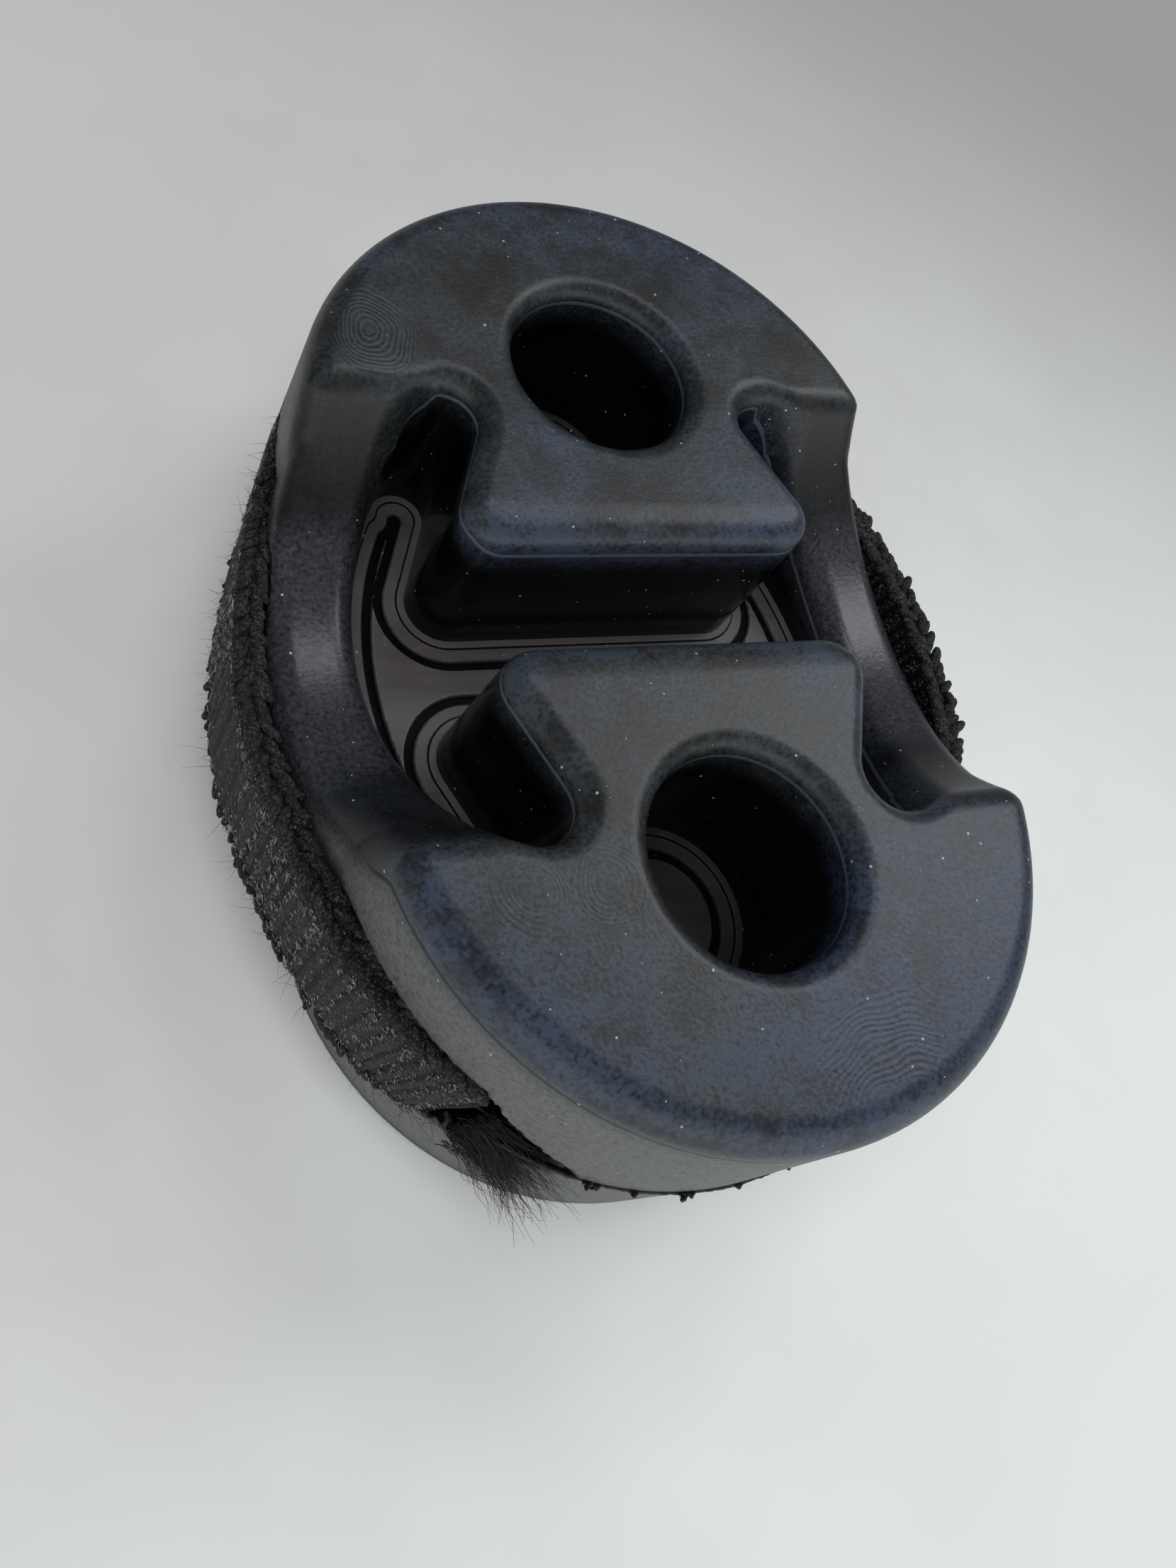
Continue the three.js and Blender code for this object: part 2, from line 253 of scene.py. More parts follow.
def both(a, b, radius):
    """Distance to what lies inside a and inside b, with the edge between them rounded."""
    over = np.hypot(np.maximum(a + radius, 0), np.maximum(b + radius, 0))
    return np.minimum(-radius, np.maximum(a, b)) + over


table_step = 0.15


def plan_table(outline, low, high):
    """Distances to an outline on a fine grid of plan points, worked out once."""
    x = np.arange(low[0], high[0], table_step)
    y = np.arange(low[1], high[1], table_step)
    grid_x, grid_y = np.meshgrid(x, y, indexing="ij")
    return outline_distance(grid_x.ravel(), grid_y.ravel(), outline).reshape(grid_x.shape), low


def looked_up(table, x, y):
    """Distance at plan points, blended from the four nearest points of a table."""
    values, low = table
    u = np.clip((x - low[0]) / table_step, 0, values.shape[0] - 1.001)
    v = np.clip((y - low[1]) / table_step, 0, values.shape[1] - 1.001)
    i = u.astype(int)
    j = v.astype(int)
    u = u - i
    v = v - j
    near = values[i, j] * (1 - v) + values[i, j + 1] * v
    far = values[i + 1, j] * (1 - v) + values[i + 1, j + 1] * v
    return near * (1 - u) + far * u


quarter_low = (-0.5, -0.5)
quarter_high = (42, 56)
outer_table = plan_table(outer_outline(), quarter_low, quarter_high)
slot_table = plan_table(slot_outline(), quarter_low, quarter_high)
groove_list = groove_tables()


def moulding(points):
    """Distances to the moulding's faces: outer and slot walls, tapered, the top with the hollow
    over each arm as a round cut across it, and the bores."""
    x, y, z = np.abs(points).T
    outer = looked_up(outer_table, x, y) + draft * z
    slot = -looked_up(slot_table, x, y) + draft * z
    hollow_radius = (arm_chord ** 2 + arm_sag ** 2) / (2 * arm_sag)
    hollow_z = half_depth - arm_sag + hollow_radius
    hollow = hollow_radius - np.hypot(y, z - hollow_z)
    arm_side = np.interp(y, hollow_stop_y, hollow_stop_x)
    inward = np.clip((arm_side + hollow_fade / 2 - x) / hollow_fade, 0, 1)
    hollow = hollow - hollow_lift * inward
    top = both(z - half_depth, hollow, step_radius)
    rho = np.hypot(x, y - bore_centre_y)
    bore = bore_radius - draft * (half_depth - bore_mouth - z) - rho
    return outer, slot, top, bore


def groove_depth(points):
    """How far points lie inside the band's groove and pocket. The pocket gets lower to its end."""
    x, y, z = points.T
    depth = np.full(len(points), -30.0)
    for low, away, near, end in groove_list:
        i = (x - low[0]) / groove_grid
        j = (y - low[1]) / groove_grid
        here = (i > 0) & (j > 0) & (i < away.shape[0] - 1.001) & (j < away.shape[1] - 1.001)
        here = here & (np.abs(z) < 12)
        i, j = i[here], j[here]
        m, n = i.astype(int), j.astype(int)
        i, j = i - m, j - n
        gap, run = [(grid[m, n] * (1 - i) + grid[m + 1, n] * i) * (1 - j)
                    + (grid[m, n + 1] * (1 - i) + grid[m + 1, n + 1] * i) * j
                    for grid in (away, near)]
        tall = np.interp(run, [end - 3, end + pocket_length],
                         [band_half_width + groove_gap, pocket_end_height])
        wide = np.interp(run, [end - 4, end, end + 10],
                         [band_thickness / 2 + groove_gap, *pocket_half_widths])
        cut = -both(np.abs(z[here]) - tall, gap - wide, groove_corner)
        depth[here] = np.maximum(depth[here], cut)
    return depth


def moulding_distance(points):
    """Distance to the moulding's skin: inside the walls and under the top, outside the bores and
    the band's groove."""
    outer, slot, top, bore = moulding(points)
    block = both(both(outer, top, outer_edge_radius), slot, slot_edge_radius)
    return both(both(block, bore, bore_mouth), groove_depth(points), groove_lip)


def slope(field, points, reach):
    """Slope of a distance field at points, from its change over a short reach each way."""
    axes = np.eye(3) * reach
    change = [field(points + axis) - field(points - axis) for axis in axes]
    return np.stack(change, axis=1) / (2 * reach)


def skin(field, low, high, step):
    """Closed skin where a distance field is zero. Every cell of a grid that the skin crosses gets
    one point, the mean of the crossings of its edges, and every crossed edge one four-sided face
    between the cells round it. The points are then moved along the slope onto the skin."""
    counts = np.ceil((np.array(high) - low) / step).astype(int) + 1
    grid = np.stack(np.meshgrid(*[np.arange(n) for n in counts], indexing="ij"), axis=-1)
    value = field(low + grid.reshape(-1, 3) * step).reshape(counts)
    total = np.zeros((*counts, 3))
    number = np.zeros(counts)
    faces = []
    for axis in range(3):
        ahead = np.roll(value, -1, axis=axis)
        crossed = np.argwhere((value < 0) != (ahead < 0))
        crossed = crossed[crossed[:, axis] < counts[axis] - 1]
        here = value[tuple(crossed.T)]
        there = ahead[tuple(crossed.T)]
        point = crossed.astype(float)
        point[:, axis] += here / (here - there)
        first, second = np.eye(3, dtype=int)[[(axis + 1) % 3, (axis + 2) % 3]]
        cells = [crossed - first - second, crossed - second, crossed, crossed - first]
        for cell in cells:
            np.add.at(total, tuple(cell.T), point)
            np.add.at(number, tuple(cell.T), 1)
        corners = np.stack([np.ravel_multi_index(cell.T, counts) for cell in cells], axis=1)
        faces.append(np.where((here < 0)[:, None], corners, corners[:, ::-1]))
    faces = np.concatenate(faces)
    used = np.flatnonzero(number.ravel())
    order = np.zeros(number.size, dtype=int)
    order[used] = np.arange(used.size)
    points = low + step * total.reshape(-1, 3)[used] / number.ravel()[used, None]
    for _ in range(2):
        way = slope(field, points, 0.05)
        move = field(points)[:, None] * way / np.maximum((way ** 2).sum(axis=1), 0.3)[:, None]
        points = points - np.clip(move, -step / 2, step / 2)
    return points, order[faces], slope(field, points, 0.05)


def new_piece(name, points, faces, normals=None):
    """A mesh object from points in millimetres about the mid-plane and lists of face corners."""
    mesh = bpy.data.meshes.new(name)
    lifted = (np.asarray(points) + (0, 0, half_depth)) * mm
    mesh.from_pydata(lifted, [], faces.tolist() if isinstance(faces, np.ndarray) else faces)
    mesh.polygons.foreach_set("use_smooth", np.ones(len(mesh.polygons), dtype=bool))
    if normals is not None:
        length = np.linalg.norm(normals, axis=1)
        mesh.normals_split_custom_set_from_vertices(normals / length[:, None])
    piece = bpy.data.objects.new(name, mesh)
    scene.collection.objects.link(piece)
    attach(piece, "root")
    return piece


def note(piece, name, values):
    """Keeps one number for each point of a piece, for its material to read."""
    attribute = piece.data.attributes.new(name, "FLOAT", "POINT")
    attribute.data.foreach_set("value", np.asarray(values, dtype=np.float32))


skin_low = np.array([-39.3, -53.7, -half_depth - 1.3])
points, faces, normals = skin(moulding_distance, skin_low, -skin_low, skin_step)
rubber = new_piece("rubber_moulding", points, faces, normals)


def rising(value, low, high):
    """0 below low, 1 above high and smooth between."""
    t = np.clip((value - low) / (high - low), 0, 1)
    return t * t * (3 - 2 * t)


# What the finish needs to know at each point: how much bloom it holds, with painted light in it:
# painted shade in the hollows and at the arm ends, a painted highlight on the stop rims and a
# painted reflection on the lower land; how much grey film it holds, partly a painted reflection on
# the outer walls; where the arms carry a painted violet sheen; whether it is hidden inside; how far
# it is from the line where the rounding of its wall ends, a dark mould line on the outer walls and a
# painted highlight on the slot and bore walls; and the marks on the near face.
# Each mark: centre x and y, squash, inner and outer reach of its rings, and strength.

face_marks = np.array([
    (-25.4, 29.4, 0.8, 0.3, 4.3, 1.0),
    (-22.0, -28.0, 1.0, 1.0, 3.6, 0.35),
    (-15.0, -28.0, 1.0, 1.0, 3.4, 0.35),
    (8.0, -57.0, 0.9, 9.0, 15.0, 0.6),
])

outer, slot, top, bore = -np.array(moulding(points))
x, y = np.abs(points[:, :2]).T
# Bloom reaches only the faces near the top; the deeper hollows stay bare black as painted shade.
top_not_painted_shade = 1 - rising(top, 1.5, 6.0)
arm_part = rising(x, 24.0, 29.0) * (1 - rising(y, 20.0, 24.0))
# The arms' ends get less bloom: painted shade.
arm_end_painted_shade = rising(x, 22.0, 27.0) * rising(y, 11.0, 16.0) * (1 - rising(y, 21.0, 25.0))
outer_wall = 1 - rising(outer, 0.3, 0.6)
slot_wall = 1 - rising(slot, 0.3, 0.6)
bore_wall = 1 - rising(bore, 0.3, 0.6)
on_land = rising(y, 22.2, 23.6)
line_place = np.where(slot < 0.9, top - slot_edge_radius - 0.1,
                      np.where(bore < 0.9, top - bore_mouth - 0.1, top - outer_edge_radius - 0.25))
mark_x = points[:, :1] - face_marks[:, 0]
mark_y = (points[:, 1:2] - face_marks[:, 1]) * face_marks[:, 2]
wander = np.sin(0.9 * points[:, 0] + 0.5 * points[:, 1])
wander = 0.3 * wander * np.sin(0.4 * points[:, 0] - 0.8 * points[:, 1])
mark_reach = np.hypot(mark_x, mark_y) + wander[:, None]
in_mark = rising(mark_reach, face_marks[:, 3], face_marks[:, 3] + 0.6)
in_mark = in_mark * (1 - rising(mark_reach, face_marks[:, 4], face_marks[:, 4] + 0.8))
nearest = (mark_reach - face_marks[:, 4]).argmin(axis=1)
in_mark[:, 3] *= 1 - rising(np.abs(points[:, 0] - 5.0), 4.0, 8.0)
every = np.arange(len(points))
in_groove = rising(groove_depth(points), -0.45, -0.12)
top_not_painted_shade = top_not_painted_shade * (1 - in_groove)
outer_wall = outer_wall * (1 - in_groove)
# Towards the lower land the bloom gets paler and, in the finish, bluer: a painted reflection.
low_land_painted_reflection = rising(-points[:, 1], 15.0, 40.0)
# Near the stops' rims the bloom gets paler: a painted highlight.
stop_rim_painted_highlight = (1 - rising(slot, 1.2, 3.0)) * (1 - rising(y, 12.0, 16.0)) * (1 - rising(x, 21.0, 23.0))
# Bloom with painted light in it: painted shade in the hollows and at the arm ends, a painted
# reflection on the lower land, a painted highlight on the stop rims.
bloom_and_painted_light = top_not_painted_shade * (1 - 0.8 * arm_end_painted_shade) * (0.75 + 0.3 * low_land_painted_reflection) * (1 + 0.7 * stop_rim_painted_highlight)
note(rubber, "bloom_and_painted_light", bloom_and_painted_light)
note(rubber, "low_land_painted_reflection", low_land_painted_reflection)
# Along the middle of the arms the bloom turns violet: a painted sheen.
note(rubber, "painted_violet_sheen", arm_part * (1 - arm_end_painted_shade))
# Grey film on the outer walls, partly a painted reflection of the pale sheet.
note(rubber, "film_and_painted_reflection", outer_wall * (1 - top_not_painted_shade) * (1 - in_groove))
note(rubber, "inside", rising(top, 2.0, 4.5) * rising(outer, 0.5, 2.0))
note(rubber, "line_place", line_place)
# On the slot and bore walls the line at the rounding's end is pale: a painted highlight.
note(rubber, "pale_painted_highlight", 0.6 * slot_wall + 0.4 * bore_wall * (1 - slot_wall))
note(rubber, "line_dark", outer_wall * on_land)
note(rubber, "mark_reach", mark_reach[every, nearest])
near_face = (top < 0.1) * (points[:, 2] > 0)
note(rubber, "mark", in_mark[every, nearest] * face_marks[nearest, 5] * near_face)
crease_stops = ((15.9, 18.7), (12.6, 18.1), (9.6, 18.9))
crease_ring = 3.05
crease = np.full(len(points), 9.0)
for start, end in zip(crease_stops[:-1], crease_stops[1:]):
    span = np.subtract(end, start)
    rx, ry = x - start[0], y - start[1]
    share = np.clip((rx * span[0] + ry * span[1]) / (span @ span), 0, 1)
    crease = np.minimum(crease, np.hypot(rx - share * span[0], ry - share * span[1]))
crease = np.minimum(crease, np.abs(bore - crease_ring))
note(rubber, "insert", crease + 9 * rising(top, 0.1, 0.5))
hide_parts("rubber_body")


# Carbon-black rubber with a faint blue-grey bloom on the top faces, which also carries painted
# light: it is left off the hollows and thinned at the arm ends as painted shade, paler and bluer on
# the lower land as a painted reflection, paler on the stop rims as a painted highlight, and violet
# along the arms as a painted sheen. A dusty grey film lies on the outer walls, partly a painted
# reflection of the pale sheet. Fine white dust, dark mould lines where the outer roundings end, and
# painted highlights where the slot and bore roundings end.

rubber_black = (0.0009, 0.0009, 0.001)
bloom_grey = (0.029, 0.034, 0.037)
bloom_blue = (0.028, 0.042, 0.070)
# Violet painted sheen along the middle of the arms.
painted_violet_sheen_colour = (0.046, 0.041, 0.055)
# Grey film, partly a painted reflection of the pale sheet.
film_and_reflection_grey = (0.115, 0.122, 0.118)
line_black = (0.002, 0.002, 0.002)
# Pale painted highlight where the slot and bore roundings end, also on the crests of the ring marks.
pale_painted_highlight = (0.10, 0.12, 0.15)
dust_white = (0.55, 0.56, 0.54)
mark_pitch = 0.46


class Wiring:
    """Short names for adding and joining nodes in one tree."""

    def __init__(self, tree):
        self.tree = tree

    def node(self, kind, inputs=(), **settings):
        made = self.tree.nodes.new(kind)
        for key, value in settings.items():
            setattr(made, key, value)
        for key, value in dict(inputs).items():
            if isinstance(value, bpy.types.NodeSocket):
                self.tree.links.new(value, made.inputs[key])
            else:
                made.inputs[key].default_value = value
        return made

    def math(self, operation, a, b=0.0, c=0.0, clamp=False):
        made = self.node("ShaderNodeMath", {0: a, 1: b, 2: c}, operation=operation, use_clamp=clamp)
        return made.outputs[0]

    def ramp(self, value, low, high):
        """0 below low, 1 above high, smooth between; falls instead where low is above high."""
        rising = high > low
        inputs = {0: value, 1: min(low, high), 2: max(low, high), 3: 1.0 - rising, 4: float(rising)}
        made = self.node("ShaderNodeMapRange", inputs, interpolation_type="SMOOTHSTEP")
        return made.outputs[0]

    def band(self, value, centre, half_width, soft):
        """1 within half_width of centre, falling to 0 over soft more."""
        away = self.math("ABSOLUTE", self.math("SUBTRACT", value, centre))
        return self.ramp(away, half_width + soft, half_width)

    def mix(self, factor, a, b):
        made = self.node("ShaderNodeMix", data_type="RGBA")
        for socket, value in ((made.inputs[0], factor), (made.inputs[6], a), (made.inputs[7], b)):
            if isinstance(value, bpy.types.NodeSocket):
                self.tree.links.new(value, socket)
            elif isinstance(value, tuple):
                socket.default_value = (*value, 1)
            else:
                socket.default_value = value
        return made.outputs[2]

    def read(self, name):
        return self.node("ShaderNodeAttribute", attribute_name=name).outputs["Fac"]

    def noise(self, place, scale, detail=2.0, roughness=0.5, distortion=0.0):
        made = self.node("ShaderNodeTexNoise", {"Vector": place, "Scale": scale, "Detail": detail,
                                                "Roughness": roughness, "Distortion": distortion})
        return made.outputs["Fac"]


def new_group(name, inputs, outputs):
    """An empty shader node group with named inputs and outputs."""
    group = bpy.data.node_groups.new(name, "ShaderNodeTree")
    for label, kind, value in inputs:
        socket = group.interface.new_socket(label, in_out="INPUT", socket_type=kind)
        socket.default_value = value
    for label, kind in outputs:
        group.interface.new_socket(label, in_out="OUTPUT", socket_type=kind)
    wiring = Wiring(group)
    return group, wiring, wiring.node("NodeGroupInput").outputs, wiring.node("NodeGroupOutput").inputs


def dust_group():
    """Fine white specks: round spots at random cells of a Voronoi pattern, only in some cells,
    each of its own size."""
    group, w, given, out = new_group(
        "dust specks",
        [("Place", "NodeSocketVector", (0, 0, 0)), ("Per Metre", "NodeSocketFloat", 1000.0),
         ("Share", "NodeSocketFloat", 0.3), ("Size", "NodeSocketFloat", 0.11)],
        [("Mask", "NodeSocketFloat")])
    cells = w.node("ShaderNodeTexVoronoi", {"Vector": given["Place"], "Scale": given["Per Metre"]})
    chance = w.node("ShaderNodeSeparateColor", {0: cells.outputs["Color"]}).outputs
    wanted = w.math("LESS_THAN", chance[0], given["Share"])
    size = w.math("MULTIPLY", given["Size"], w.math("ADD", w.math("POWER", chance[1], 3.0), 0.35))
    spot = w.math("LESS_THAN", cells.outputs["Distance"], size)
    group.links.new(w.math("MULTIPLY", spot, wanted), out["Mask"])
    return group


dust_specks = dust_group()


def new_material(name):
    """A material with its Principled shader and wiring."""
    material = bpy.data.materials.new(name)
    material.use_nodes = True
    shader = material.node_tree.nodes["Principled BSDF"]
    wiring = Wiring(material.node_tree)
    return material, wiring, shader.inputs, wiring.node("ShaderNodeTexCoord").outputs["Object"]


def moulded_rubber():
    """Finish of the moulding: mottled bloom on the top faces with painted light in it, film on the
    outer walls that is partly a painted reflection, black inside as painted shade, a line at the end
    of each rounding that is dark on the outer walls and a painted highlight on the slot and bore
    walls, ring marks with painted highlights on their crests, dust, and a fine satin grain."""
    material, w, shader, place = new_material("moulded rubber")
    link = material.node_tree.links.new
    film_and_painted_reflection = w.read("film_and_painted_reflection")
    large = w.noise(place, 26.0, 1.0)
    patch = w.noise(place, 150.0, 4.0, 0.72)
    fine = w.noise(place, 2200.0, 1.0, 0.6)
    cloud = w.math("MULTIPLY_ADD", patch, 0.5, large)
    # Bluer towards the lower land: part of the painted reflection there.
    blue = w.ramp(w.math("MULTIPLY_ADD", w.read("low_land_painted_reflection"), 0.13, cloud), 0.62, 0.92)
    tint = w.mix(blue, bloom_grey, bloom_blue)
    # Violet painted sheen along the arms.
    tint = w.mix(w.math("MULTIPLY", w.read("painted_violet_sheen"), 0.8), tint, painted_violet_sheen_colour)
    mottle = w.math("MULTIPLY_ADD", w.ramp(patch, 0.34, 0.68), 0.8, 0.35)
    speckle = w.math("MULTIPLY_ADD", fine, 2.8, -0.42)
    mottle = w.math("MULTIPLY_ADD", w.math("SUBTRACT", 0.8, mottle), w.read("painted_violet_sheen"), mottle)
    # Amount of bloom, with painted shade and painted highlights in it.
    amount = w.math("MULTIPLY", w.math("MULTIPLY", w.read("bloom_and_painted_light"), mottle), speckle, clamp=True)
    colour = w.mix(amount, rubber_black, tint)
    # Grey film on the outer walls, partly a painted reflection.
    filmed = w.math("MULTIPLY", film_and_painted_reflection, w.math("MULTIPLY_ADD", speckle, 0.5, 0.4), clamp=True)
    colour = w.mix(filmed, colour, film_and_reflection_grey)

    on_line = w.band(w.read("line_place"), 0.0, 0.15, 0.12)
    # Pale line where the slot and bore roundings end: a painted highlight.
    pale = w.math("MULTIPLY", on_line, w.read("pale_painted_highlight"))
    dark = w.math("MULTIPLY", on_line, w.read("line_dark"))
    wave = w.math("SINE", w.math("MULTIPLY", w.read("mark_reach"), 2 * np.pi / mark_pitch))
    ridge = w.math("MULTIPLY", wave, w.read("mark"))
    # Crests of the ring marks painted pale: a painted highlight.
    colour = w.mix(w.math("MULTIPLY", w.math("MAXIMUM", ridge, 0.0), 0.2), colour, pale_painted_highlight)
    colour = w.mix(pale, colour, pale_painted_highlight)
    insert = w.math("MULTIPLY", w.ramp(w.read("insert"), 0.16, 0.05), 0.55)
    colour = w.mix(w.math("MAXIMUM", dark, insert), colour, line_black)

    specks = w.node("ShaderNodeGroup", node_tree=dust_specks)
    link(place, specks.inputs["Place"])
    colour = w.mix(w.math("MULTIPLY", specks.outputs["Mask"], 0.6), colour, dust_white)
    link(colour, shader["Base Color"])

    rough = w.math("MULTIPLY_ADD", patch, 0.14, 0.33)
    rough = w.math("MULTIPLY_ADD", film_and_painted_reflection, 0.2, rough)
    rough = w.math("MULTIPLY_ADD", w.read("inside"), -0.2, rough)
    rough = w.math("MULTIPLY_ADD", w.read("painted_violet_sheen"), -0.1, rough)
    link(rough, shader["Roughness"])
    height = w.math("MULTIPLY_ADD", ridge, 0.5, w.math("MULTIPLY", fine, 1.2))
    height = w.math("MULTIPLY_ADD", w.math("SUBTRACT", pale, dark), 5.0, height)
    bump = w.node("ShaderNodeBump", {"Height": height, "Strength": 0.5, "Distance": 0.00004})
    link(bump.outputs[0], shader["Normal"])
    return material


skin_finish = moulded_rubber()
rubber.data.materials.append(skin_finish)


# Membranes. The same rubber closes the slot and both bores at mid-depth with a thin web. Along
# every wall it has a raised ledge, a plain shelf and a deep tear groove; the middle stays flat.

web_dark = (0.036, 0.032, 0.032)
web_pale = (0.150, 0.132, 0.128)
ledge_grey = (0.07, 0.066, 0.068)
# Pale rim on the edge of the middle island: a painted highlight.
rim_painted_highlight = (0.12, 0.11, 0.11)
# Darker membrane inside the bores: painted shade.
bore_painted_shade = (0.004, 0.004, 0.005)
# Black in the tear grooves and along the ledge's step: painted shade.
groove_painted_shade = (0.0012, 0.0012, 0.0012)
web_profile_from_wall = [-0.4, 0.66, 0.86, 2.1, 2.34, 3.05, 3.29]
web_profile_height = [1.22, 1.22, 1.0, 1.0, 0.3, 0.3, 1.0]
web_step = 0.28


def from_web_wall(points):
    """How far points are from the nearest slot or bore wall, towards the middle of the opening."""
    x, y = np.abs(points[:, :2]).T
    in_slot = -looked_up(slot_table, x, y)
    foot = bore_radius - draft * (half_depth - bore_mouth)
    in_bore = foot - np.hypot(x, y - bore_centre_y)
    return np.maximum(in_slot, in_bore)


def web_distance(points):
    """Distance to the membranes: under a height that depends only on how far the wall is."""
    away = from_web_wall(points)
    height = np.interp(away, web_profile_from_wall, web_profile_height)
    return np.maximum(np.abs(points[:, 2]) - height, -away - 0.4)


web_low = np.array([-28.9, -37.3, -1.9])
points, faces, normals = skin(web_distance, web_low, -web_low, web_step)
web = new_piece("rubber_membranes", points, faces, normals)
note(web, "from_wall", from_web_wall(points))
from_bore = np.hypot(points[:, 0], np.abs(points[:, 1]) - bore_centre_y)
note(web, "in_bore", from_bore < bore_radius + 0.5)


def membrane_rubber():
    """Finish of the membranes: warm grey scuffed rubber, a pale ledge, tear grooves and the ledge's
    step painted black as painted shade, a painted highlight on the island's rim, and painted shade
    inside the bores.
    """
    material, w, shader, place = new_material("membrane rubber")
    link = material.node_tree.links.new
    away = w.read("from_wall")
    streak = w.node("ShaderNodeMapping", {"Vector": place, "Scale": (60.0, 900.0, 60.0),
                                          "Rotation": (0, 0, 0.6)})
    scuff = w.noise(streak.outputs[0], 1.0, 4.0, 0.6)
    patch = w.noise(place, 160.0, 3.0, 0.6)
    colour = w.mix(w.math("MULTIPLY", scuff, patch), web_dark, web_pale)
    ledge = w.ramp(away, 0.8, 0.6)
    colour = w.mix(w.math("MULTIPLY", ledge, 0.5), colour, ledge_grey)
    # Tear grooves and the ledge's step painted black: painted shade.
    groove = w.band(away, 2.695, 0.42, 0.12)
    step = w.band(away, 0.80, 0.06, 0.06)
    # Rim of the island painted pale: a painted highlight.
    rim = w.band(away, 3.36, 0.04, 0.05)
    colour = w.mix(w.math("MULTIPLY", rim, 0.5), colour, rim_painted_highlight)
    # Membrane inside the bores painted darker: painted shade.
    colour = w.mix(w.math("MULTIPLY", w.read("in_bore"), 0.75), colour, bore_painted_shade)
    dark = w.math("MAXIMUM", groove, step)
    colour = w.mix(dark, colour, groove_painted_shade)
    specks = w.node("ShaderNodeGroup", node_tree=dust_specks)
    link(place, specks.inputs["Place"])
    colour = w.mix(w.math("MULTIPLY", specks.outputs["Mask"], 0.4), colour, dust_white)
    link(colour, shader["Base Color"])
    link(w.math("MULTIPLY_ADD", dark, 0.45, 0.5), shader["Roughness"])
    height = w.math("ADD", w.math("MULTIPLY", scuff, 0.8), w.math("MULTIPLY", patch, 0.8))
    bump = w.node("ShaderNodeBump", {"Height": height, "Strength": 0.5, "Distance": 0.00006})
    link(bump.outputs[0], shader["Normal"])
    return material


web.data.materials.append(membrane_rubber())


# Webbing band. A ribbed strip woven from black textured polyester yarn, laid round the arms and
# moulded into the end blocks, so it shows only at the two waists. Each rib is a row of slanting
# strands, its long edges are braided, and one end is cut and frayed.

rib_pitch = 1.8
rib_height = 0.34
strand_pitch = 2.1
cut_lean = 1.9
braid_rows = ((-0.5, 0.62), (-2.1, -0.62))
strand_length = 2.7
strand_radius = 0.60
yarn_black = (0.0025, 0.0025, 0.0028)
# Paler yarn tone: on the band's rib crowns a painted highlight, on the braids a tone that varies at
# random.
yarn_crown = (0.13, 0.131, 0.129)
band_seed = 7
rng = np.random.default_rng(band_seed)


def rib_number(length):
    """Ribs passed so far along the band: one each rib pitch, now a little closer, now wider."""
    return length / rib_pitch + 0.22 * np.sin(length * 0.61) + 0.12 * np.sin(length * 1.7)


def band_surface(path, length, lean_at_end):
    """A band as a grid: stations along the path by points round its section, a flat loop with
    rounded edges. Its faces swell into a rib across the band every rib pitch, each a little
    different, and its edges wander a little. Towards its cut end the section leans, so that the
    near edge runs on further than the far one."""
    along, out = left_and_right(path)
    turn = np.linspace(0, 2 * np.pi, 73)[:-1]
    side = np.sign(np.cos(turn)) * np.abs(np.cos(turn)) ** 0.55
    level = np.sign(np.sin(turn)) * np.abs(np.sin(turn)) ** 0.42
    side, level = side * 0.5, level * band_half_width
    rib = rib_number(length)
    number = rib.astype(int)
    swell = np.abs(np.sin(np.pi * rib)) ** 0.55
    height = rib_height * (0.75 + 0.5 * rng.random(number.max() + 2))[number]
    lean = np.interp(length, length[::40], rng.normal(0, 0.12, length[::40].size))
    across = side[None, :] * band_thickness
    across = across + (swell * height)[:, None] * np.sign(side)[None, :] * (np.abs(side) > 0.35)
    offset = -band_thickness / 2 + across + lean[:, None]
    ripple = 0.16 * np.sin(2 * np.pi * rib + 1.1)[:, None] * np.abs(level / band_half_width)
    z = level * (1 + ripple / band_half_width) + 0.12 * swell[:, None] * np.sign(level)
    late = np.clip((length - length[-1] + 16) / 16, 0, 1) ** 1.5 * lean_at_end
    shorter = 1 - 2.2 * (lean_at_end > 0) / length[-1]
    run = length[:, None] * shorter + late[:, None] * level / band_half_width
    centre = np.stack([np.interp(run, length, column) for column in path.T], axis=2)
    side_way = np.stack([np.interp(run, length, column) for column in out.T], axis=2)
    plan = centre + side_way * offset[:, :, None]
    points = np.concatenate([plan, z[:, :, None]], axis=2)
    uv = np.stack(np.broadcast_arrays(run, rib[:, None]), axis=2)
    return points, uv


def loop_faces(stations, around, first=0):
    """Four-sided faces between neighbouring stations of a closed loop, and the two end caps."""
    a = np.arange(stations - 1)[:, None] * around + np.arange(around)
    b = np.arange(stations - 1)[:, None] * around + (np.arange(around) + 1) % around
    quads = np.stack([a, a + around, b + around, b], axis=-1).reshape(-1, 4) + first
    low_cap = [list(range(first, first + around))]
    last = first + (stations - 1) * around
    high_cap = [list(range(last + around - 1, last - 1, -1))]
    return quads.tolist() + low_cap + high_cap


